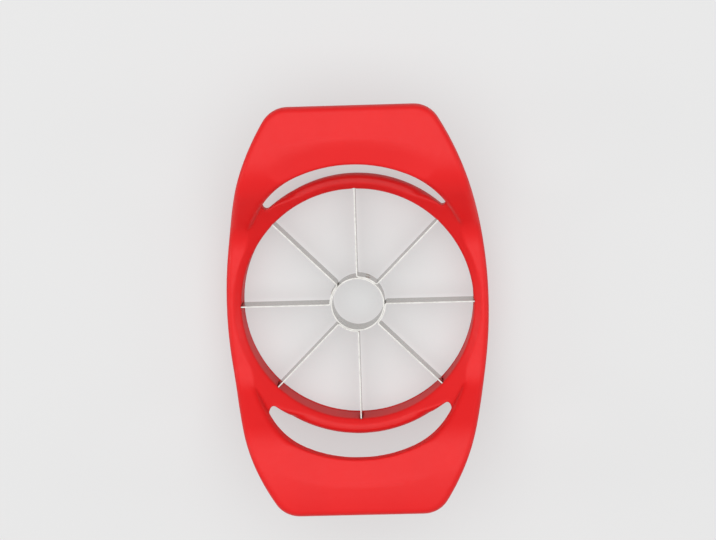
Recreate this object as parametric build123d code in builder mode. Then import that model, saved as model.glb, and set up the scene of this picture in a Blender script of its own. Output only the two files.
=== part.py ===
from build123d import *

import os
from math import acos, asin, atan2, cos, degrees, hypot, radians, sin, sqrt, tan

# Apple slicer and wedger, in millimetres.
# X runs across the side rails, Y from handle to handle, Z up from the table it stands on.
# The origin is the middle of the foot's underside.

# ---- Heights -----------------------------------------------------------------------------
foot_thickness = 3.0  # locking ring below the blades
blade_depth = 15.0  # cutting edge to spine
lip_cover = 0.8  # plastic over the blade spines at the opening's edge
arch_rise = 3.2  # top of the finger-slot arches above the spines
rail_rise = 4.0  # top of the side rails above the spines
handle_rise = 26.3  # crest of the handles above the rails
skirt_depth = 9.5  # height of the frame's outer wall

# ---- Side view: level rails that sweep up into the handles ---------------------------------
shelf_setback = 29.0  # the rails are level until this far inside the opening's edge
hollow_radius = 20.0
climb_angle = 43.0
shoulder_bend_radius = 32.0
crown_radius = 106.0  # gentle fall of the handle towards its outer edge

# ---- Plan view ------------------------------------------------------------------------------
opening_radius = 55.0
rail_width = 7.0
arch_width = 7.1
finger_gap = 6.9
handle_width = 26.8
belly_radius = 215.0  # long curve of the sides, up to where the opening ends
flank_radius = 130.0
corner_radius = 13.0
rail_lip = 2.4  # opening edge to rail crest
brow_flare = 3.9  # how much wider than the arch the handle's inner edge curves
brow_half_width = 25.0
temple_tuck = 23.1  # how much tighter than the arch it curves at each end
slot_tip_radius = 1.7
dish_width = 15.5  # shallow dish between a finger gap and the crest of its handle
dish_slope = 15.0
dish_round = 25.0

# ---- Moulding -------------------------------------------------------------------------------
lip_angle = 40.0  # slope from the opening's edge up to the crest
rim_round = 3.0  # roundings are three flats that touch a circle of this radius
crest_round = 2.0
floor_depth = 18.0  # basin floor's underside below the frame's top line, under the climb
rail_floor = 7.5  # and beside the rails
floor_overlap = 1.0  # how far the basin's floor reaches into the frame's inner wall
arch_chamfer = 1.4
arch_thickness = 4.2
saddle_angle = 35.0  # where the arches run into the rails
saddle_round = 6.0
arch_start_angle = 38.0
shell_wall = 2.6
shell_top = 3.0
hollow_start = 36.0
rib_thickness = 1.8
rib_pitch = 21.0
rib_count = 3
rib_setback = 1.5  # ribs end this far inside the skirt
facing_slack = 0.01  # how far a face's direction may be from level or upright
overrun = 5.0  # how far cutting shapes reach past the frame
ring_wall = 4.0

# ---- Blade star -----------------------------------------------------------------------------
spoke_count = 8
steel = 0.6
bevel_height = 1.6
edge_width = 0.12
corer_inner_radius = 12.1
corer_reach = 1.0  # how far the corer's edge stands below the blades'
weld_gap = 0.05
elbow_radius = 0.9
hook_wall = 1.9  # plastic between the opening and a hooked blade end
hook_length = 2.2
pocket_clearance = 0.15

# ---- Locking ring ---------------------------------------------------------------------------
collar_height = 4.5
collar_wall = 1.7
collar_clearance = 0.2
peg_count = 4
peg_radius = 0.9
peg_height = 3.0
peg_clearance = 0.1
foot_chamfer = 0.6

# ---- What follows from the sizes above --------------------------------------------------------
spoke_pitch = 360 / spoke_count
strip_count = spoke_count // 2
edge_z = foot_thickness
spine_z = edge_z + blade_depth
lip_z = spine_z + lip_cover
arch_z = spine_z + arch_rise
rail_z = spine_z + rail_rise
handle_z = rail_z + handle_rise
over_all_z = handle_z + overrun
shelf_length = opening_radius - shelf_setback
half_width = opening_radius + rail_width
arch_radius = opening_radius + arch_width
brow_radius = arch_radius + brow_flare
temple_radius = arch_radius - temple_tuck
brow_y = arch_radius + finger_gap
half_length = brow_y + handle_width
wall_radius = opening_radius + ring_wall
lip_slope = tan(radians(lip_angle))

bends_rise = (hollow_radius + shoulder_bend_radius) * (1 - cos(radians(climb_angle)))
climb_length = (handle_rise - bends_rise) / sin(radians(climb_angle))
crest_y = (
    shelf_length
    + (hollow_radius + shoulder_bend_radius) * sin(radians(climb_angle))
    + climb_length * cos(radians(climb_angle))
)
crown_angle = degrees(asin((half_length + overrun - crest_y) / crown_radius))

belly_angle = degrees(asin(opening_radius / belly_radius))
flank_end = sin(radians(belly_angle)) + (half_length - opening_radius) / flank_radius
flank_angle = degrees(asin(flank_end)) - belly_angle

# A rounding's middle flat, then the flat on each side of it, as shares of its radius.
middle_flat = 2 - sqrt(2)
side_flat = 1 - tan(radians(90 / 8)) - middle_flat

# Brow, temple and rail arcs of the basin run into each other without a corner.
brow_angle = degrees(asin(brow_half_width / brow_radius))
brow_centre = (0, brow_y - brow_radius)
temple_centre = (
    (brow_radius - temple_radius) * sin(radians(brow_angle)),
    brow_centre[1] + (brow_radius - temple_radius) * cos(radians(brow_angle)),
)
crest_x = opening_radius + rail_lip
temple_reach = crest_x - temple_centre[0]
rail_radius = (temple_reach**2 + temple_centre[1] ** 2 - temple_radius**2) / (
    2 * (temple_reach - temple_radius)
)
rail_angle = degrees(atan2(temple_centre[1], rail_radius - temple_reach))
temple_angle = 90 - brow_angle - rail_angle

# Each slot tip is a circle that touches the arch and the temple.
tip_reach = arch_radius + slot_tip_radius
temple_distance = hypot(*temple_centre)
tip_bearing = atan2(temple_centre[1], temple_centre[0])
tip_cosine = (tip_reach**2 + temple_distance**2 - (temple_radius - slot_tip_radius) ** 2) / (
    2 * tip_reach * temple_distance
)
tip_angle = degrees(tip_bearing - acos(tip_cosine))
tip_centre = (tip_reach * cos(radians(tip_angle)), tip_reach * sin(radians(tip_angle)))
tip_exit_angle = degrees(
    atan2(tip_centre[1] - temple_centre[1], tip_centre[0] - temple_centre[0])
)
saddle_y = arch_radius * sin(radians(tip_angle))
saddle_z = lip_z + arch_width * lip_slope

corer_radius = corer_inner_radius + steel
wrap_radius = corer_radius + weld_gap + steel / 2
elbow_angle = degrees(asin(elbow_radius / (wrap_radius + elbow_radius)))
elbow_reach = sqrt((wrap_radius + elbow_radius) ** 2 - elbow_radius**2)
hook_radius = opening_radius + hook_wall + steel / 2
wall_middle = opening_radius + ring_wall / 2


# ---- Shared outlines --------------------------------------------------------------------------
def wing_line(drop):
    """Half of the frame's upper line in the side view, lowered by drop."""
    shelf = Line((0, rail_z - drop), (shelf_length, rail_z - drop))
    hollow = JernArc(shelf @ 1, shelf % 1, hollow_radius, climb_angle)
    climb = PolarLine(hollow @ 1, climb_length, climb_angle)
    shoulder = JernArc(climb @ 1, climb % 1, shoulder_bend_radius, -climb_angle)
    return JernArc(shoulder @ 1, shoulder % 1, crown_radius, -crown_angle)


def wing_section(top_drop, bottom_drop, x=0.0):
    """Side view of the frame between two lines that follow its top."""
    with BuildSketch(Plane.YZ.offset(x)) as section:
        with BuildLine():
            upper = wing_line(top_drop)
            lower = wing_line(bottom_drop)
            Line(upper @ 1, lower @ 1)
            mirror(about=Plane.YZ)
        make_face()
    return section.sketch


def outline_plan(inset=0.0):
    """Outer edge of the frame seen from above."""
    with BuildSketch() as plan:
        with BuildLine():
            belly = CenterArc((half_width - belly_radius, 0), belly_radius, 0, belly_angle)
            flank = JernArc(belly @ 1, belly % 1, flank_radius, flank_angle)
            mirror(about=Plane.YZ)
            corner = flank @ 1
            Line((corner.X, corner.Y), (-corner.X, corner.Y))
            mirror(about=Plane.XZ)
        make_face()
        rows = plan.vertices().group_by(Axis.Y)
        fillet(rows[0] + rows[-1], corner_radius)
        if inset:
            offset(amount=-inset, mode=Mode.REPLACE)
    return plan.sketch


def basin_plan(outset=0.0):
    """Crest that surrounds the opening and both finger slots."""
    with BuildSketch() as plan:
        with BuildLine():
            brow = CenterArc(brow_centre, brow_radius, 90, -brow_angle)
            temple = JernArc(brow @ 1, brow % 1, temple_radius, -temple_angle)
            JernArc(temple @ 1, temple % 1, rail_radius, -rail_angle)
            mirror(about=Plane.YZ)
            mirror(about=Plane.XZ)
        make_face()
        if outset:
            offset(amount=outset, mode=Mode.REPLACE)
    return plan.sketch


def pocket_plan():
    """Hooked pockets in the ring wall, one for each blade end."""
    slot_width = steel + 2 * pocket_clearance
    slot_start = opening_radius - ring_wall
    slot_end = hook_radius + slot_width / 2
    hook_reach = hook_length + pocket_clearance + slot_width / 2
    with BuildSketch(Plane.XY.offset(edge_z)) as plan:
        for spoke in range(spoke_count):
            side = 1 if spoke % 2 else -1
            with Locations(Location((0, 0, 0), (0, 0, spoke * spoke_pitch))):
                with Locations(((slot_start + slot_end) / 2, 0)):
                    Rectangle(slot_end - slot_start, slot_width)
                with Locations((hook_radius, side * (hook_reach - slot_width) / 2)):
                    Rectangle(slot_width, hook_reach)
    return plan.sketch


def finger_slot_plan():
    """The two crescents between the arches and the handles."""
    with BuildSketch() as plan:
        with BuildLine():
            CenterArc((0, 0), arch_radius, tip_angle, 90 - tip_angle)
            CenterArc(tip_centre, slot_tip_radius, tip_angle + 180, 180 + tip_exit_angle - tip_angle)
            CenterArc(
                temple_centre, temple_radius, tip_exit_angle, 90 - brow_angle - tip_exit_angle
            )
            CenterArc(brow_centre, brow_radius, 90 - brow_angle, brow_angle)
            Line((0, brow_y), (0, arch_radius))
        make_face()
        mirror(about=Plane.YZ)
        mirror(about=Plane.XZ)
    return plan.sketch


def dish_space(drop=0.0):
    """Room above the dip of each handle towards its finger slot, lowered by drop."""
    with BuildPart() as space:
        with BuildSketch(Plane.YZ):
            with BuildLine():
                rim_point = (brow_centre[1] + brow_radius + dish_width, handle_z - drop)
                level_out = JernArc(rim_point, (-1, 0), dish_round, dish_slope)
                bowl = PolarLine(level_out @ 1, brow_radius, 180 + dish_slope)
                Polyline(
                    bowl @ 1,
                    (brow_centre[1], (bowl @ 1).Y),
                    (brow_centre[1], over_all_z),
                    (rim_point[0], over_all_z),
                    rim_point,
                )
            make_face()
        revolve(axis=Axis((0, brow_centre[1], 0), (0, 0, 1)))
        with BuildSketch():
            Rectangle(4 * half_width, 2 * half_length, align=(Align.CENTER, Align.MIN))
        extrude(amount=2 * over_all_z, mode=Mode.INTERSECT)
        mirror(about=Plane.XZ)
    return space.part


# ---- Ring inside the frame ----------------------------------------------------------------------
with BuildPart() as saddles:
    # Room above the arches: past each slot tip the floor drops to the arch's height.
    saddle_foot = (saddle_y + (saddle_z - arch_z) / tan(radians(saddle_angle)), arch_z)
    with BuildSketch(Plane.YZ) as saddle_side:
        Polygon(
            (saddle_y, over_all_z),
            (saddle_y, saddle_z),
            saddle_foot,
            (half_length, arch_z),
            (half_length, over_all_z),
            align=None,
        )
        fillet(saddle_side.vertices().sort_by_distance(saddle_foot)[0], saddle_round)
        mirror(about=Plane.YZ)
    extrude(amount=half_width, both=True)
    with BuildSketch():
        Circle(arch_radius)
    extrude(amount=over_all_z, mode=Mode.INTERSECT)

with BuildPart() as blade_ring:
    # Floor of the basin, between the opening and the frame's inner wall.
    extrude(wing_section(0, floor_depth), amount=half_width, both=True)
    with BuildSketch():
        add(basin_plan(floor_overlap))
        Rectangle(4 * half_width, 2 * tip_centre[1], mode=Mode.INTERSECT)
        add(basin_plan())
    extrude(amount=over_all_z, mode=Mode.INTERSECT)
    with BuildSketch():
        Circle(half_length)
    extrude(amount=rail_z - rail_floor, mode=Mode.SUBTRACT)
    extrude(finger_slot_plan(), amount=over_all_z, mode=Mode.SUBTRACT)
    add(saddles.part, mode=Mode.SUBTRACT)
    # Upright wall that holds the blades.
    with BuildSketch(Plane.XY.offset(edge_z)):
        Circle(wall_radius)
    extrude(amount=arch_z - edge_z)
    # Arches: the ring carries on past the rails under each finger slot.
    for start in (arch_start_angle, 180 + arch_start_angle):
        with BuildSketch(Plane.XZ.rotated((0, 0, start))) as band:
            Polygon(
                (opening_radius, arch_z),
                (arch_radius, arch_z),
                (arch_radius, arch_z - arch_thickness),
                (opening_radius, arch_z - arch_thickness),
                align=None,
            )
            chamfer(band.vertices().group_by(Axis.X)[-1].sort_by(Axis.Y)[-1], arch_chamfer)
        revolve(axis=Axis.Z, revolution_arc=180 - 2 * arch_start_angle)
    # The opening, whose edge slopes up to the crest all round.
    with BuildSketch(Plane.XZ):
        Polygon(
            (0, 0),
            (opening_radius, 0),
            (opening_radius, lip_z),
            (half_length, lip_z + (half_length - opening_radius) * lip_slope),
            (half_length, over_all_z),
            (0, over_all_z),
            align=None,
        )
    revolve(axis=Axis.Z, mode=Mode.SUBTRACT)


# ---- Underside hollows --------------------------------------------------------------------------
with BuildPart() as hollows:
    # Each handle and its arms are a shell, open below and divided by ribs.
    extrude(wing_section(shell_top, skirt_depth + handle_z), amount=half_width, both=True)
    extrude(outline_plan(shell_wall), amount=2 * over_all_z, both=True, mode=Mode.INTERSECT)
    extrude(basin_plan(shell_wall), amount=2 * over_all_z, both=True, mode=Mode.SUBTRACT)
    add(dish_space(shell_top), mode=Mode.SUBTRACT)
    Box(4 * half_width, 2 * hollow_start, 4 * over_all_z, mode=Mode.SUBTRACT)
    for column in range(rib_count):
        rib_x = (column - (rib_count - 1) / 2) * rib_pitch
        extrude(
            wing_section(0, skirt_depth - rib_setback, rib_x),
            amount=rib_thickness / 2,
            both=True,
            mode=Mode.SUBTRACT,
        )


# ---- Handle frame -------------------------------------------------------------------------------
def shared_edges(some, others):
    """Edges where faces of one list meet faces of another."""
    other_edges = others.edges()
    return ShapeList(edge for edge in some.edges() if edge in other_edges)


def tops(part):
    """Faces of the frame's upper surface, none of which leans across X."""
    least_upward = cos(radians(climb_angle)) - facing_slack
    upward = part.faces().filter_by(lambda face: face.normal_at().Z > least_upward)
    return upward.filter_by(lambda face: abs(face.normal_at().X) < facing_slack)


def walls(part):
    """Upright faces."""
    return part.faces().filter_by(lambda face: abs(face.normal_at().Z) < facing_slack)


def flats(part):
    """Other faces that look upwards: the flats of rounded edges."""
    upward = part.faces().filter_by(lambda face: face.normal_at().Z > facing_slack)
    return upward - tops(part)


def round_over(part, radius):
    """Rounds the frame with three flats where its upper surface meets upright walls."""
    earlier = flats(part).edges()
    chamfer(shared_edges(tops(part), walls(part)), middle_flat * radius)
    borders = shared_edges(flats(part), tops(part) + walls(part))
    chamfer(borders - earlier, side_flat * radius)


with BuildPart() as handle_frame:
    extrude(wing_section(0, skirt_depth), amount=half_width + overrun, both=True)
    extrude(outline_plan(), amount=over_all_z, mode=Mode.INTERSECT)
    round_over(handle_frame, rim_round)
    extrude(basin_plan(), amount=over_all_z, mode=Mode.SUBTRACT)
    round_over(handle_frame, crest_round)
    add(dish_space(), mode=Mode.SUBTRACT)
    add(hollows.part, mode=Mode.SUBTRACT)
    add(blade_ring.part)
    # Pockets for the blade ends, open at the wall's foot.
    extrude(pocket_plan(), amount=blade_depth + pocket_clearance, mode=Mode.SUBTRACT)
    with BuildSketch(Plane.XY.offset(edge_z)):
        with PolarLocations(wall_middle, peg_count, start_angle=spoke_pitch / 2):
            Circle(peg_radius + peg_clearance)
    extrude(amount=peg_height + peg_clearance, mode=Mode.SUBTRACT)


# ---- Locking ring -------------------------------------------------------------------------------
with BuildPart() as lock_ring:
    collar_inner = wall_radius + collar_clearance
    collar_outer = collar_inner + collar_wall
    with BuildSketch(Plane.XZ) as lock_section:
        Polygon(
            (opening_radius, 0),
            (opening_radius, edge_z),
            (collar_inner, edge_z),
            (collar_inner, edge_z + collar_height),
            (collar_outer, edge_z + collar_height),
            (collar_outer, 0),
            align=None,
        )
        chamfer(lock_section.vertices().group_by(Axis.Y)[0].sort_by(Axis.X)[-1], foot_chamfer)
    revolve(axis=Axis.Z)
    with BuildSketch(Plane.XY.offset(edge_z)):
        with PolarLocations(wall_middle, peg_count, start_angle=spoke_pitch / 2):
            Circle(peg_radius)
    extrude(amount=peg_height)


# ---- Blades -------------------------------------------------------------------------------------
with BuildPart() as corer_ring:
    corer_plane = Plane(
        origin=(corer_inner_radius + steel / 2, 0, edge_z - corer_reach),
        x_dir=(0, 0, 1),
        z_dir=(0, 1, 0),
    )
    # Ground on its outside alone, so that the core slides up a straight bore.
    with BuildSketch(corer_plane):
        Polygon(
            (0, -steel / 2),
            (blade_depth + corer_reach, -steel / 2),
            (blade_depth + corer_reach, steel / 2),
            (bevel_height, steel / 2),
            (0, edge_width - steel / 2),
            align=None,
        )
    revolve(axis=Axis.Z)

blade_strips = []
for number in range(strip_count):
    first = (2 * number + 1) * spoke_pitch
    last = first + spoke_pitch
    out_first = Vector(1, 0, 0).rotate(Axis.Z, first)
    out_last = Vector(1, 0, 0).rotate(Axis.Z, last)
    along_first = Vector(0, 1, 0).rotate(Axis.Z, first)
    along_last = Vector(0, -1, 0).rotate(Axis.Z, last)
    level = Vector(0, 0, edge_z)
    with BuildPart() as blade_strip:
        with BuildLine() as route:
            tab = Line(
                level + out_first * hook_radius + along_first * hook_length,
                level + out_first * hook_radius,
            )
            spoke = Line(tab @ 1, level + out_first * elbow_reach)
            elbow = JernArc(spoke @ 1, spoke % 1, elbow_radius, elbow_angle - 90)
            wrap = JernArc(elbow @ 1, elbow % 1, wrap_radius, spoke_pitch - 2 * elbow_angle)
            far_elbow = JernArc(wrap @ 1, wrap % 1, elbow_radius, elbow_angle - 90)
            far_spoke = Line(far_elbow @ 1, level + out_last * hook_radius)
            Line(far_spoke @ 1, level + out_last * hook_radius + along_last * hook_length)
        with BuildSketch(Plane(origin=tab @ 0, x_dir=(0, 0, 1), z_dir=tab % 0)):
            Polygon(
                (0, -edge_width / 2),
                (bevel_height, -steel / 2),
                (blade_depth, -steel / 2),
                (blade_depth, steel / 2),
                (bevel_height, steel / 2),
                (0, edge_width / 2),
                align=None,
            )
        sweep(path=route.line, transition=Transition.RIGHT)
    blade_strip.part.label = f"blade_strip_{number + 1}"
    blade_strips.append(blade_strip.part)

handle_frame.part.label = "handle_frame"
lock_ring.part.label = "lock_ring"
corer_ring.part.label = "corer_ring"

# ---- Write the pieces -----------------------------------------------------------------------------
os.makedirs("parts", exist_ok=True)
for piece in [handle_frame.part, lock_ring.part, corer_ring.part, *blade_strips]:
    export_step(piece, f"parts/{piece.label}.step")
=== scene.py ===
"""Apple slicer and wedger: a red moulded handle frame around a folded steel blade star.

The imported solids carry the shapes. Two copies with softened edges and blends stand for the red
mouldings, and the steel shows as it is packed. This file makes those copies and the finishes, adds
the small marks that moulding and welding leave, and sets up a plain studio around them.
"""

import logging
import math
from dataclasses import dataclass, field
from enum import Enum

import bmesh
import bpy
from mathutils import Matrix, Vector
from mathutils.bvhtree import BVHTree

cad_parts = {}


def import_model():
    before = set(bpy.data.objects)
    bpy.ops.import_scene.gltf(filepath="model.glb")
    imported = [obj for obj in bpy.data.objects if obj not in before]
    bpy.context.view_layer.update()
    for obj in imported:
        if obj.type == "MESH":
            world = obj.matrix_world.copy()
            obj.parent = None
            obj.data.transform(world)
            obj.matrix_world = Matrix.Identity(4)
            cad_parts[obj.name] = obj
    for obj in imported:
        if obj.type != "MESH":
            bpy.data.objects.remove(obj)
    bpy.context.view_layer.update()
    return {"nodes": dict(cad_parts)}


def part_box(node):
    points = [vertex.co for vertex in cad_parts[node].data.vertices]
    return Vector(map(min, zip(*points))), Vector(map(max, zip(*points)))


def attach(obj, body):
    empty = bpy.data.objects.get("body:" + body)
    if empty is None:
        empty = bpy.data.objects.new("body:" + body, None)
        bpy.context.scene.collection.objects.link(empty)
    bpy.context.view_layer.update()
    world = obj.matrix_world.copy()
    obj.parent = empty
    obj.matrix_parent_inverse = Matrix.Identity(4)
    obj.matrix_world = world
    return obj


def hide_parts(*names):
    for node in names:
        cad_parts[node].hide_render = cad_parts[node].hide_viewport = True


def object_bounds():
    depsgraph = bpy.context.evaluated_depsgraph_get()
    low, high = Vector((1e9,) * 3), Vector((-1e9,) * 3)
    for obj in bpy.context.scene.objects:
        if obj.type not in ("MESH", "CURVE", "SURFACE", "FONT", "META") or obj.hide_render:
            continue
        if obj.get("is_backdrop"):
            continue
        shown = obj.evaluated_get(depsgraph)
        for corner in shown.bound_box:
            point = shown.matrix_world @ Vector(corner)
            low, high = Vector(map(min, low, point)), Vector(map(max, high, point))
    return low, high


log = logging.getLogger("apple_slicer")

MM = 0.001
BODY = "root"

# Linear red, green and blue.
Colour = tuple[float, float, float]

# A pattern's units in a millimetre along X, Y and Z.
Grain = tuple[float, float, float]


class MaterialSlot(Enum):
    """Names of the record's material slots for each kind of piece; the pieces get finishes made
    here instead.
    """

    FRAME = "red_plastic"
    LOCK = "lock_plastic"
    BLADE = "blade_steel"


class MixKind(Enum):
    """What a mix node mixes."""

    VALUE = "FLOAT"
    COLOUR = "RGBA"


# ---- Finishes -------------------------------------------------------------------------------


class Shader:
    """A node tree being put together, one node at a time."""

    def __init__(self, name: str) -> None:
        """Starts an empty material.

        Args:
            name: what the material is called.
        """
        self.material = bpy.data.materials.new(name)
        self.material.use_nodes = True
        self.tree = self.material.node_tree
        self.tree.nodes.clear()
        self.output = self.tree.nodes.new("ShaderNodeOutputMaterial")

    def node(self, kind: str, **settings: object) -> bpy.types.Node:
        """Adds a node.

        Args:
            kind: the node's type, without the words ShaderNode.
            settings: properties to set on it.

        Returns:
            The new node.
        """
        made = self.tree.nodes.new(f"ShaderNode{kind}")
        for key, value in settings.items():
            setattr(made, key, value)
        return made

    def link(self, source: bpy.types.NodeSocket, target: bpy.types.NodeSocket) -> None:
        """Joins two sockets."""
        self.tree.links.new(source, target)

    def stretched_place(self, grain: Grain) -> bpy.types.NodeSocket:
        """Object coordinates, stretched along the axes to a pattern's grain.

        Args:
            grain: the pattern's units in a millimetre.

        Returns:
            The socket with the stretched coordinates.
        """
        place = self.node("TexCoord")
        scale = self.node("Mapping")
        scale.inputs["Scale"].default_value = [units / MM for units in grain]
        self.link(place.outputs["Object"], scale.inputs["Vector"])
        return scale.outputs["Vector"]

    def noise(self, grain: Grain, detail: float = 3.0) -> bpy.types.NodeSocket:
        """Noise with a set grain.

        Args:
            grain: the noise's units in a millimetre.
            detail: octaves of finer noise.

        Returns:
            The noise value's socket.
        """
        texture = self.node("TexNoise")
        texture.inputs["Scale"].default_value = 1.0
        texture.inputs["Detail"].default_value = detail
        self.link(self.stretched_place(grain), texture.inputs["Vector"])
        return texture.outputs["Fac"]

    def spread(
        self,
        value: bpy.types.NodeSocket,
        low: float,
        high: float,
        cut: tuple[float, float] = (0.3, 0.7),
    ) -> bpy.types.NodeSocket:
        """Spreads a value between two levels.

        Args:
            value: the socket to read.
            low: level where the value is at or under the first cut.
            high: level where it is at or over the second cut.
            cut: the first and the second cut.

        Returns:
            The socket with the levels.
        """
        ramp = self.node("MapRange", clamp=True)
        ramp.inputs["From Min"].default_value = cut[0]
        ramp.inputs["From Max"].default_value = cut[1]
        ramp.inputs["To Min"].default_value = low
        ramp.inputs["To Max"].default_value = high
        self.link(value, ramp.inputs["Value"])
        return ramp.outputs["Result"]

    def choose(
        self,
        share: bpy.types.NodeSocket,
        first: bpy.types.NodeSocket | Colour | float,
        second: bpy.types.NodeSocket | Colour | float,
        kind: MixKind,
    ) -> bpy.types.NodeSocket:
        """Goes from one value or colour to another.

        Args:
            share: 0 for the first, 1 for the second.
            first: a socket, a plain number or linear red, green and blue.
            second: the same.
            kind: what is mixed.

        Returns:
            The mixed value's socket.
        """
        mix = self.node("Mix", data_type=kind.value)
        self.link(share, mix.inputs["Factor"])
        for place, value in (("A", first), ("B", second)):
            if isinstance(value, bpy.types.NodeSocket):
                self.link(value, mix.inputs[place])
            elif kind is MixKind.COLOUR:
                mix.inputs[place].default_value = (*value, 1.0)
            else:
                mix.inputs[place].default_value = value
        return mix.outputs["Result"]

    def bumps(
        self, height: bpy.types.NodeSocket, depth: float, below: bpy.types.NodeSocket | None = None
    ) -> bpy.types.NodeSocket:
        """Turns a height pattern into a bumped normal.

        Args:
            height: pattern from 0 to 1.
            depth: metres between its lowest and highest point.
            below: normal that this one is laid over.

        Returns:
            The normal's socket.
        """
        bump = self.node("Bump")
        bump.inputs["Strength"].default_value = 1.0
        bump.inputs["Distance"].default_value = depth
        self.link(height, bump.inputs["Height"])
        if below is not None:
            self.link(below, bump.inputs["Normal"])
        return bump.outputs["Normal"]


@dataclass(frozen=True)
class MouldedPlastic:
    """Satin injection-moulded plastic, with fine spark texture and faint flow marks."""

    name: str
    colour: Colour
    shade: Colour
    roughness: tuple[float, float] = (0.38, 0.48)
    wall_roughness: float = 0.56
    wall_lean: tuple[float, float] = (0.15, 0.45)
    reflection: float = 0.36
    refraction: float = 1.49
    flow_grain: Grain = (0.05, 0.03, 0.05)
    flow_depth: float = 0.02 * MM
    cloud_grain: Grain = (0.4, 0.4, 0.4)
    spark_grain: Grain = (6.0, 6.0, 6.0)
    spark_depth: float = 0.003 * MM

    def material(self) -> bpy.types.Material:
        """Builds the material.

        Returns:
            The finished material.
        """
        shader = Shader(self.name)
        plastic = shader.node("BsdfPrincipled")
        flow = shader.noise(self.flow_grain, detail=2.0)
        streak = shader.spread(flow, 0.0, 1.0)
        tone = shader.choose(streak, self.colour, self.shade, MixKind.COLOUR)
        shader.link(tone, plastic.inputs["Base Color"])
        cloud = shader.noise(self.cloud_grain, detail=4.0)
        satin = shader.spread(cloud, *self.roughness)
        dull = shader.choose(self._upright(shader), satin, self.wall_roughness, MixKind.VALUE)
        shader.link(dull, plastic.inputs["Roughness"])
        wave = shader.bumps(flow, self.flow_depth)
        spark = shader.noise(self.spark_grain, detail=2.0)
        shader.link(shader.bumps(spark, self.spark_depth, wave), plastic.inputs["Normal"])
        plastic.inputs["IOR"].default_value = self.refraction
        plastic.inputs["Specular IOR Level"].default_value = self.reflection
        shader.link(plastic.outputs["BSDF"], shader.output.inputs["Surface"])
        return shader.material

    def _upright(self, shader: Shader) -> bpy.types.NodeSocket:
        """Finds the upright walls, which a mould leaves duller.

        Args:
            shader: the material being made.

        Returns:
            A socket that is 1 on upright walls and 0 on sloping and level faces.
        """
        place = shader.node("TexCoord")
        facing = shader.node("SeparateXYZ")
        shader.link(place.outputs["Normal"], facing.inputs["Vector"])
        level = shader.node("Math", operation="ABSOLUTE")
        shader.link(facing.outputs["Z"], level.inputs[0])
        return shader.spread(level.outputs["Value"], 1.0, 0.0, self.wall_lean)


@dataclass(frozen=True)
class StripSteel:
    """Cold-rolled stainless strip: rolling lines along it, a bevel ground below, a sheared top."""

    name: str
    colour: Colour
    shade: Colour
    bevel_top: float
    spine: float
    roughness: tuple[float, float] = (0.20, 0.30)
    ground_roughness: float = 0.16
    sheared_colour: Colour = (0.50, 0.49, 0.47)
    sheared_shade: Colour = (0.42, 0.41, 0.39)
    sheared_roughness: float = 0.36
    sheared_depth: float = 0.25 * MM
    rolling_grain: Grain = (0.05, 0.05, 3.0)
    grinding_grain: Grain = (4.0, 4.0, 0.2)
    nick_grain: Grain = (0.5, 0.5, 0.3)
    nick_cut: tuple[float, float] = (0.4, 0.65)
    line_depth: float = 0.0006 * MM
    border: float = 0.1 * MM

    def material(self) -> bpy.types.Material:
        """Builds the material.

        Returns:
            The finished material.
        """
        shader = Shader(self.name)
        steel = shader.node("BsdfPrincipled")
        steel.inputs["Metallic"].default_value = 1.0
        rolled = shader.noise(self.rolling_grain)
        ground = shader.noise(self.grinding_grain, detail=2.0)
        nicks = shader.noise(self.nick_grain)
        bevel, sheared = self._borders(shader)
        streak = shader.spread(rolled, 0.0, 1.0)
        face = shader.choose(streak, self.colour, self.shade, MixKind.COLOUR)
        worn = shader.spread(nicks, 0.0, 1.0, self.nick_cut)
        cut = shader.choose(worn, self.sheared_colour, self.sheared_shade, MixKind.COLOUR)
        shader.link(shader.choose(sheared, face, cut, MixKind.COLOUR), steel.inputs["Base Color"])
        dull = shader.spread(rolled, *self.roughness)
        dull = shader.choose(bevel, dull, self.ground_roughness, MixKind.VALUE)
        dull = shader.choose(sheared, dull, self.sheared_roughness, MixKind.VALUE)
        shader.link(dull, steel.inputs["Roughness"])
        lines = shader.choose(bevel, rolled, ground, MixKind.VALUE)
        lines = shader.choose(sheared, lines, nicks, MixKind.VALUE)
        shader.link(shader.bumps(lines, self.line_depth), steel.inputs["Normal"])
        shader.link(steel.outputs["BSDF"], shader.output.inputs["Surface"])
        return shader.material

    def _borders(self, shader: Shader) -> tuple[bpy.types.NodeSocket, bpy.types.NodeSocket]:
        """Finds the ground bevel and the sheared top by height.

        Args:
            shader: the material being made.

        Returns:
            A socket that is 1 on the bevel, and one that is 1 on the sheared top.
        """
        place = shader.node("TexCoord")
        split = shader.node("SeparateXYZ")
        shader.link(place.outputs["Object"], split.inputs["Vector"])
        height = split.outputs["Z"]
        below = (self.bevel_top - self.border, self.bevel_top + self.border)
        sheared_from = self.spine - self.sheared_depth
        above = (sheared_from - self.border, sheared_from + self.border)
        return shader.spread(height, 1.0, 0.0, below), shader.spread(height, 0.0, 1.0, above)


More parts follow.
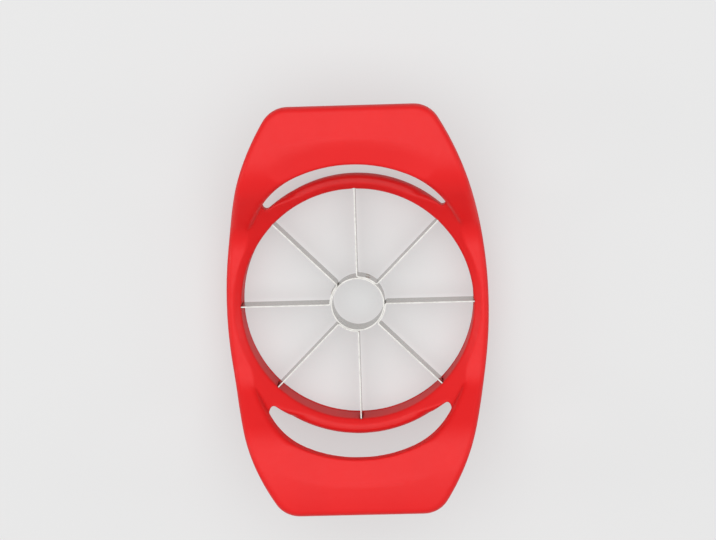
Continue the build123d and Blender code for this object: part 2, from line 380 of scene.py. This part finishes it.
@dataclass(frozen=True)
class StudioSurface:
    """Matt sweep with soft shadows near the object, which fades into the backdrop further out."""

    name: str
    backdrop: float
    paint: float = 0.36
    lift: float = 0.46
    fade: tuple[float, float] = (0.30, 0.90)

    def material(self) -> bpy.types.Material:
        """Builds the material.

        Returns:
            Matt paint, lifted towards the backdrop's level where the camera or a mirror sees it.
        """
        shader = Shader(self.name)
        matt = shader.node("BsdfDiffuse")
        matt.inputs["Color"].default_value = (self.paint, self.paint, self.paint, 1.0)
        lifted = shader.node("AddShader")
        shader.link(matt.outputs["BSDF"], lifted.inputs[0])
        shader.link(self._glow(shader, self.lift), lifted.inputs[1])
        place = shader.node("TexCoord")
        away = shader.node("VectorMath", operation="LENGTH")
        shader.link(place.outputs["Object"], away.inputs[0])
        sweep = shader.node("MixShader")
        shader.link(shader.spread(away.outputs["Value"], 0.0, 1.0, self.fade), sweep.inputs["Fac"])
        shader.link(lifted.outputs["Shader"], sweep.inputs[1])
        shader.link(self._glow(shader, self.backdrop), sweep.inputs[2])
        chosen = shader.node("MixShader")
        shader.link(seen_directly(shader.tree), chosen.inputs["Fac"])
        shader.link(matt.outputs["BSDF"], chosen.inputs[1])
        shader.link(sweep.outputs["Shader"], chosen.inputs[2])
        shader.link(chosen.outputs["Shader"], shader.output.inputs["Surface"])
        return shader.material

    def _glow(self, shader: Shader, level: float) -> bpy.types.NodeSocket:
        """Adds an even white glow.

        Args:
            shader: the material being made.
            level: how strong it is.

        Returns:
            The glow's socket.
        """
        glow = shader.node("Emission")
        glow.inputs["Strength"].default_value = level
        return glow.outputs["Emission"]


def seen_directly(tree: bpy.types.NodeTree) -> bpy.types.NodeSocket:
    """Tells rays of the camera, of mirrors and of glass from those that light the object.

    Args:
        tree: the node tree that gets the nodes.

    Returns:
        A socket that is 1 where the surface or the room is seen and 0 where it only gives light.
    """
    path = tree.nodes.new("ShaderNodeLightPath")
    seen = path.outputs["Is Camera Ray"]
    for kind in ("Is Glossy Ray", "Is Transmission Ray"):
        either = tree.nodes.new("ShaderNodeMath")
        either.operation = "MAXIMUM"
        tree.links.new(seen, either.inputs[0])
        tree.links.new(path.outputs[kind], either.inputs[1])
        seen = either.outputs["Value"]
    return seen


# ---- Sub-assemblies -------------------------------------------------------------------------


class Wall:
    """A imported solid's surface, for placing things on it."""

    def __init__(self, mesh: bpy.types.Mesh) -> None:
        """Reads the surface.

        Args:
            mesh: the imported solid's mesh.
        """
        self.tree = BVHTree.FromPolygons(
            [vertex.co for vertex in mesh.vertices], [face.vertices for face in mesh.polygons]
        )

    def meet(self, start: Vector, heading: Vector) -> tuple[Vector, Vector]:
        """Finds where a straight line meets the surface.

        Args:
            start: where the line starts, outside the solid.
            heading: which way it goes.

        Returns:
            The point, and the surface's outward direction there.
        """
        place, outward, _, _ = self.tree.ray_cast(start, heading)
        return place, outward if outward.dot(heading) < 0 else -outward


@dataclass(frozen=True)
class Stamp:
    """A small round mark, turned from its profile of radii and heights in millimetres."""

    name: str
    profile: tuple[tuple[float, float], ...]
    steps: int = 24

    def press(self, spots: list[tuple[Vector, Vector]]) -> bpy.types.Object:
        """Makes one piece with the mark at each spot.

        Args:
            spots: the places on a surface and its outward directions there.

        Returns:
            The new piece.
        """
        form = bmesh.new()
        for place, outward in spots:
            facing = outward.to_track_quat("Z", "Y").to_matrix().to_4x4()
            self._turn(form, Matrix.Translation(place) @ facing)
        mesh = bpy.data.meshes.new(self.name)
        form.to_mesh(mesh)
        form.free()
        for face in mesh.polygons:
            face.use_smooth = True
        piece = bpy.data.objects.new(self.name, mesh)
        bpy.context.scene.collection.objects.link(piece)
        return piece

    def _turn(self, form: bmesh.types.BMesh, place: Matrix) -> None:
        """Turns the profile about the surface's outward direction into a closed solid.

        Args:
            form: the mesh that gets the mark.
            place: where the mark sits and which way it faces.
        """
        tip = form.verts.new(place @ Vector((0.0, 0.0, self.profile[0][1] * MM)))
        base = form.verts.new(place @ Vector((0.0, 0.0, self.profile[-1][1] * MM)))
        rings = []
        for radius, height in self.profile[1:-1]:
            ring = []
            for step in range(self.steps):
                angle = math.tau * step / self.steps
                point = Vector((radius * math.cos(angle), radius * math.sin(angle), height)) * MM
                ring.append(form.verts.new(place @ point))
            rings.append(ring)
        for step in range(self.steps):
            after = (step + 1) % self.steps
            form.faces.new((tip, rings[0][step], rings[0][after]))
            form.faces.new((base, rings[-1][after], rings[-1][step]))
            for inner, outer in zip(rings, rings[1:]):
                form.faces.new((inner[step], outer[step], outer[after], inner[after]))


@dataclass
class Moulding:
    """A moulded piece, with the soft edges and blends that a mould gives.

    Points nearer than same_point are one. Outward edges turned by more than sharp, and longer
    than short_edge, are rounded by edge_round. Then an even grid of cells, grain wide, is laid
    over the piece and smoothed in a number of passes.
    """

    node: str
    piece: str
    slot: MaterialSlot
    finish: MouldedPlastic
    same_point: float = 0.002 * MM
    flat: float = math.radians(0.6)
    edge_round: float = 0.45 * MM
    round_steps: int = 3
    round_profile: float = 0.5
    sharp: float = math.radians(50.0)
    short_edge: float = 0.5 * MM
    grain: float = 0.5 * MM
    softness: float = 0.5
    passes: int = 18

    def dress(self, nodes: dict[str, bpy.types.Object]) -> list[bpy.types.Object]:
        """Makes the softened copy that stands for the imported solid.

        Args:
            nodes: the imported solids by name.

        Returns:
            The pieces that show.
        """
        moulding = bpy.data.objects.new(self.piece, self._rounded(nodes[self.node].data))
        bpy.context.scene.collection.objects.link(moulding)
        even = moulding.modifiers.new("even_grid", "REMESH")
        even.mode = "VOXEL"
        even.voxel_size = self.grain
        even.use_smooth_shade = True
        soften = moulding.modifiers.new("soft_blends", "SMOOTH")
        soften.factor = self.softness
        soften.iterations = self.passes
        cover(moulding, self.finish.material())
        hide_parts(self.node)
        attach(moulding, BODY)
        return [moulding]

    def _rounded(self, solid: bpy.types.Mesh) -> bpy.types.Mesh:
        """Rounds the outward edges of a solid.

        Args:
            solid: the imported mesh, which stays as it is.

        Returns:
            A new mesh with the sharp outward edges rounded.
        """
        form = bmesh.new()
        form.from_mesh(solid)
        bmesh.ops.remove_doubles(form, verts=form.verts, dist=self.same_point)
        bmesh.ops.dissolve_limit(form, angle_limit=self.flat, verts=form.verts, edges=form.edges)
        edges = [
            edge
            for edge in form.edges
            if edge.is_manifold
            and edge.is_convex
            and edge.calc_face_angle(0.0) > self.sharp
            and edge.calc_length() > self.short_edge
        ]
        bmesh.ops.bevel(
            form,
            geom=edges,
            offset=self.edge_round,
            offset_type="OFFSET",
            segments=self.round_steps,
            profile=self.round_profile,
            affect="EDGES",
        )
        mesh = bpy.data.meshes.new(self.piece)
        form.to_mesh(mesh)
        form.free()
        return mesh


@dataclass
class HandleFrame(Moulding):
    """The red moulding with its two raised handles."""

    node: str = "handle_frame"
    piece: str = "red_moulding"
    slot: MaterialSlot = MaterialSlot.FRAME
    finish: MouldedPlastic = MouldedPlastic(
        name="red_satin", colour=(0.86, 0.008, 0.009), shade=(0.83, 0.007, 0.008)
    )
    ejector: Stamp = Stamp(
        name="ejector_marks",
        profile=((0.0, 0.04), (2.0, 0.04), (2.3, 0.16), (2.5, 0.12), (2.6, -0.6), (0.0, -0.6)),
    )
    ejector_across: tuple[float, ...] = (10.5 * MM, 31.5 * MM)
    ejector_inset: float = 14.0 * MM
    gate: Stamp = Stamp(
        name="gate_marks",
        profile=((0.0, 0.45), (0.9, 0.5), (1.1, 0.35), (1.2, -0.6), (0.0, -0.6)),
    )
    gate_inset: float = 17.0 * MM
    gate_across: float = 4.0 * MM

    def dress(self, nodes: dict[str, bpy.types.Object]) -> list[bpy.types.Object]:
        """Makes the moulding and the marks that its mould leaves under the handles.

        Args:
            nodes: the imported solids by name.

        Returns:
            The pieces that show.
        """
        pieces = super().dress(nodes)
        wall = Wall(nodes[self.node].data)
        low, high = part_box(self.node)
        ends = ((low[1], 1), (high[1], -1))
        upward = Vector((0.0, 0.0, 1.0))
        pushed = [
            wall.meet(Vector((side * across, end + inward * self.ejector_inset, 0.0)), upward)
            for end, inward in ends
            for across in self.ejector_across
            for side in (-1, 1)
        ]
        filled = [
            wall.meet(Vector((self.gate_across, end + inward * self.gate_inset, 0.0)), upward)
            for end, inward in ends
        ]
        for stamp, spots in ((self.ejector, pushed), (self.gate, filled)):
            marks = stamp.press(spots)
            cover(marks, pieces[0].data.materials[0])
            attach(marks, BODY)
            pieces.append(marks)
        return pieces


@dataclass
class LockRing(Moulding):
    """The ring pressed in from below, which closes the blade pockets and is the foot."""

    node: str = "lock_ring"
    piece: str = "red_lock_ring"
    slot: MaterialSlot = MaterialSlot.LOCK
    passes: int = 10
    finish: MouldedPlastic = MouldedPlastic(
        name="red_satin_ring", colour=(0.84, 0.008, 0.009), shade=(0.81, 0.007, 0.008)
    )


@dataclass
class BladeStar:
    """Four folded strips around the corer."""

    corer: str = "corer_ring"
    strip_prefix: str = "blade_strip_"
    bevel_height: float = 1.6 * MM
    steel: Colour = (0.52, 0.51, 0.485)
    steel_shade: Colour = (0.46, 0.45, 0.425)
    weld: Stamp = Stamp(
        name="weld_spots",
        profile=((0.0, 0.02), (0.6, 0.02), (0.95, 0.10), (1.3, 0.0), (1.3, -0.2), (0.0, -0.2)),
    )
    weld_heights: tuple[float, ...] = (6.5 * MM, 13.5 * MM)
    weld_tint: Colour = (0.50, 0.42, 0.32)
    weld_start: float = 25.0 * MM
    wrap_reach: float = 14.0 * MM

    def dress(self, nodes: dict[str, bpy.types.Object]) -> list[bpy.types.Object]:
        """Gives the strips and the corer their finishes.

        Args:
            nodes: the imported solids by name.

        Returns:
            The pieces that show.
        """
        strips = [nodes[name] for name in sorted(nodes) if name.startswith(self.strip_prefix)]
        corer = nodes[self.corer]
        for solid in (*strips, corer):
            low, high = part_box(solid.name)
            finish = StripSteel(
                name=f"{solid.name}_steel",
                colour=self.steel,
                shade=self.steel_shade,
                bevel_top=low[2] + self.bevel_height,
                spine=high[2],
            )
            cover(solid, finish.material())
        return [*strips, corer, self._welds(strips)]

    def _welds(self, strips: list[bpy.types.Object]) -> bpy.types.Object:
        """Puts a row of spot welds on each strip, where it wraps the corer.

        Args:
            strips: the folded strips.

        Returns:
            The piece with all the welds.
        """
        spots = []
        for strip in strips:
            places = [vertex.co.xy for vertex in strip.data.vertices]
            wrap = [place for place in places if place.length < self.wrap_reach]
            middle = sum(wrap, Vector((0.0, 0.0))).normalized().to_3d()
            wall = Wall(strip.data)
            for height in self.weld_heights:
                start = middle * self.weld_start + Vector((0.0, 0.0, height))
                spots.append(wall.meet(start, -middle))
        welds = self.weld.press(spots)
        low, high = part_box(strips[0].name)
        finish = StripSteel("weld_steel", self.weld_tint, self.steel_shade, low[2], high[2])
        cover(welds, finish.material())
        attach(welds, BODY)
        return welds


def cover(piece: bpy.types.Object, material: bpy.types.Material) -> None:
    """Puts one material on the whole of a piece."""
    piece.data.materials.clear()
    piece.data.materials.append(material)


# ---- Studio ---------------------------------------------------------------------------------


@dataclass
class ViewPoint:
    """Camera above the slicer, tilted a little towards one handle."""

    target: Vector = field(default_factory=lambda: Vector((0.0, 0.0, 18.0 * MM)))
    image_width: float = 716.0
    image_height: float = 540.0
    target_place: tuple[float, float] = (357.6, 304.3)
    lens_px: float = 2196.0
    sensor: float = 36.0
    distance: float = 1039.0 * MM
    tilt: float = math.radians(8.5)
    turn: float = math.radians(2.0)
    roll: float = math.radians(-1.8)

    def place(self) -> None:
        """Adds the camera and makes it the scene's."""
        away = Vector((math.sin(self.turn), math.sin(self.tilt), math.cos(self.tilt))).normalized()
        right = Vector((0.0, 1.0, 0.0)).cross(away).normalized()
        up = away.cross(right)
        spin = Matrix.Rotation(self.roll, 3, away)
        right = spin @ right
        up = spin @ up
        scale = self.distance / self.lens_px
        aside = (self.image_width / 2 - self.target_place[0]) * scale
        above = (self.target_place[1] - self.image_height / 2) * scale
        data = bpy.data.cameras.new("camera")
        data.sensor_width = self.sensor
        data.lens = self.lens_px * self.sensor / self.image_width
        camera = bpy.data.objects.new("camera", data)
        axes = Matrix((right, up, away)).transposed()
        eye = self.target + away * self.distance + right * aside + up * above
        camera.matrix_world = Matrix.Translation(eye) @ axes.to_4x4()
        bpy.context.scene.collection.objects.link(camera)
        bpy.context.scene.camera = camera


@dataclass(frozen=True)
class Softbox:
    """A square studio lamp, aimed at the slicer."""

    name: str
    place: tuple[float, float, float]
    side: float
    watts: float

    def switch_on(self, aim: Vector) -> None:
        """Adds the lamp.

        Args:
            aim: the point it faces.
        """
        data = bpy.data.lights.new(self.name, "AREA")
        data.shape = "SQUARE"
        data.size = self.side
        data.energy = self.watts
        lamp = bpy.data.objects.new(self.name, data)
        lamp.location = self.place
        lamp.rotation_euler = (aim - lamp.location).to_track_quat("-Z", "Y").to_euler()
        bpy.context.scene.collection.objects.link(lamp)


@dataclass
class Studio:
    """Pale floor, soft lamps and an even white room."""

    floor_side: float = 6.0
    floor_cells: int = 4
    room_light: float = 0.38
    backdrop: float = 0.78
    lamps: tuple[Softbox, ...] = (
        Softbox("softbox_above", place=(0.0, 0.30, 1.6), side=2.6, watts=26.2),
        Softbox("softbox_left", place=(-1.1, 0.0, 0.45), side=0.3, watts=1.5),
        Softbox("softbox_right", place=(1.1, 0.0, 0.45), side=0.3, watts=1.0),
    )

    def build(self) -> None:
        """Adds the floor, the lamps and the room's light."""
        low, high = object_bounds()
        self._floor(low[2])
        aim = (Vector(low) + Vector(high)) / 2
        for lamp in self.lamps:
            lamp.switch_on(aim)
        self._room()
        bpy.context.scene.view_settings.view_transform = "Standard"

    def _floor(self, level: float) -> None:
        """Lays the floor.

        Args:
            level: height of its surface.
        """
        grid = bmesh.new()
        bmesh.ops.create_grid(
            grid,
            x_segments=self.floor_cells,
            y_segments=self.floor_cells,
            size=self.floor_side / 2,
        )
        mesh = bpy.data.meshes.new("floor")
        grid.to_mesh(mesh)
        grid.free()
        floor = bpy.data.objects.new("floor", mesh)
        floor.location.z = level
        cover(floor, StudioSurface("floor_white", self.backdrop).material())
        bpy.context.scene.collection.objects.link(floor)
        floor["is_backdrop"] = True

    def _room(self) -> None:
        """Adds even light from all round, and the pale backdrop where the room itself is seen."""
        world = bpy.data.worlds.new("room")
        world.use_nodes = True
        bpy.context.scene.world = world
        tree = world.node_tree
        tree.nodes.clear()
        output = tree.nodes.new("ShaderNodeOutputWorld")
        chosen = tree.nodes.new("ShaderNodeMixShader")
        tree.links.new(seen_directly(tree), chosen.inputs["Fac"])
        for place, level in ((1, self.room_light), (2, self.backdrop)):
            even = tree.nodes.new("ShaderNodeBackground")
            even.inputs["Color"].default_value = (1.0, 1.0, 1.0, 1.0)
            even.inputs["Strength"].default_value = level
            tree.links.new(even.outputs["Background"], chosen.inputs[place])
        tree.links.new(chosen.outputs["Shader"], output.inputs["Surface"])


# ---- The scene ------------------------------------------------------------------------------


def main() -> None:
    """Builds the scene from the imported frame."""
    logging.basicConfig(level=logging.INFO, format="%(name)s: %(message)s")
    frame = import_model()
    ViewPoint().place()
    Studio().build()
    for assembly in (HandleFrame(), LockRing(), BladeStar()):
        for piece in assembly.dress(frame["nodes"]):
            log.info("%s: %s", type(assembly).__name__, piece.name)


if __name__ == "__main__":
    main()
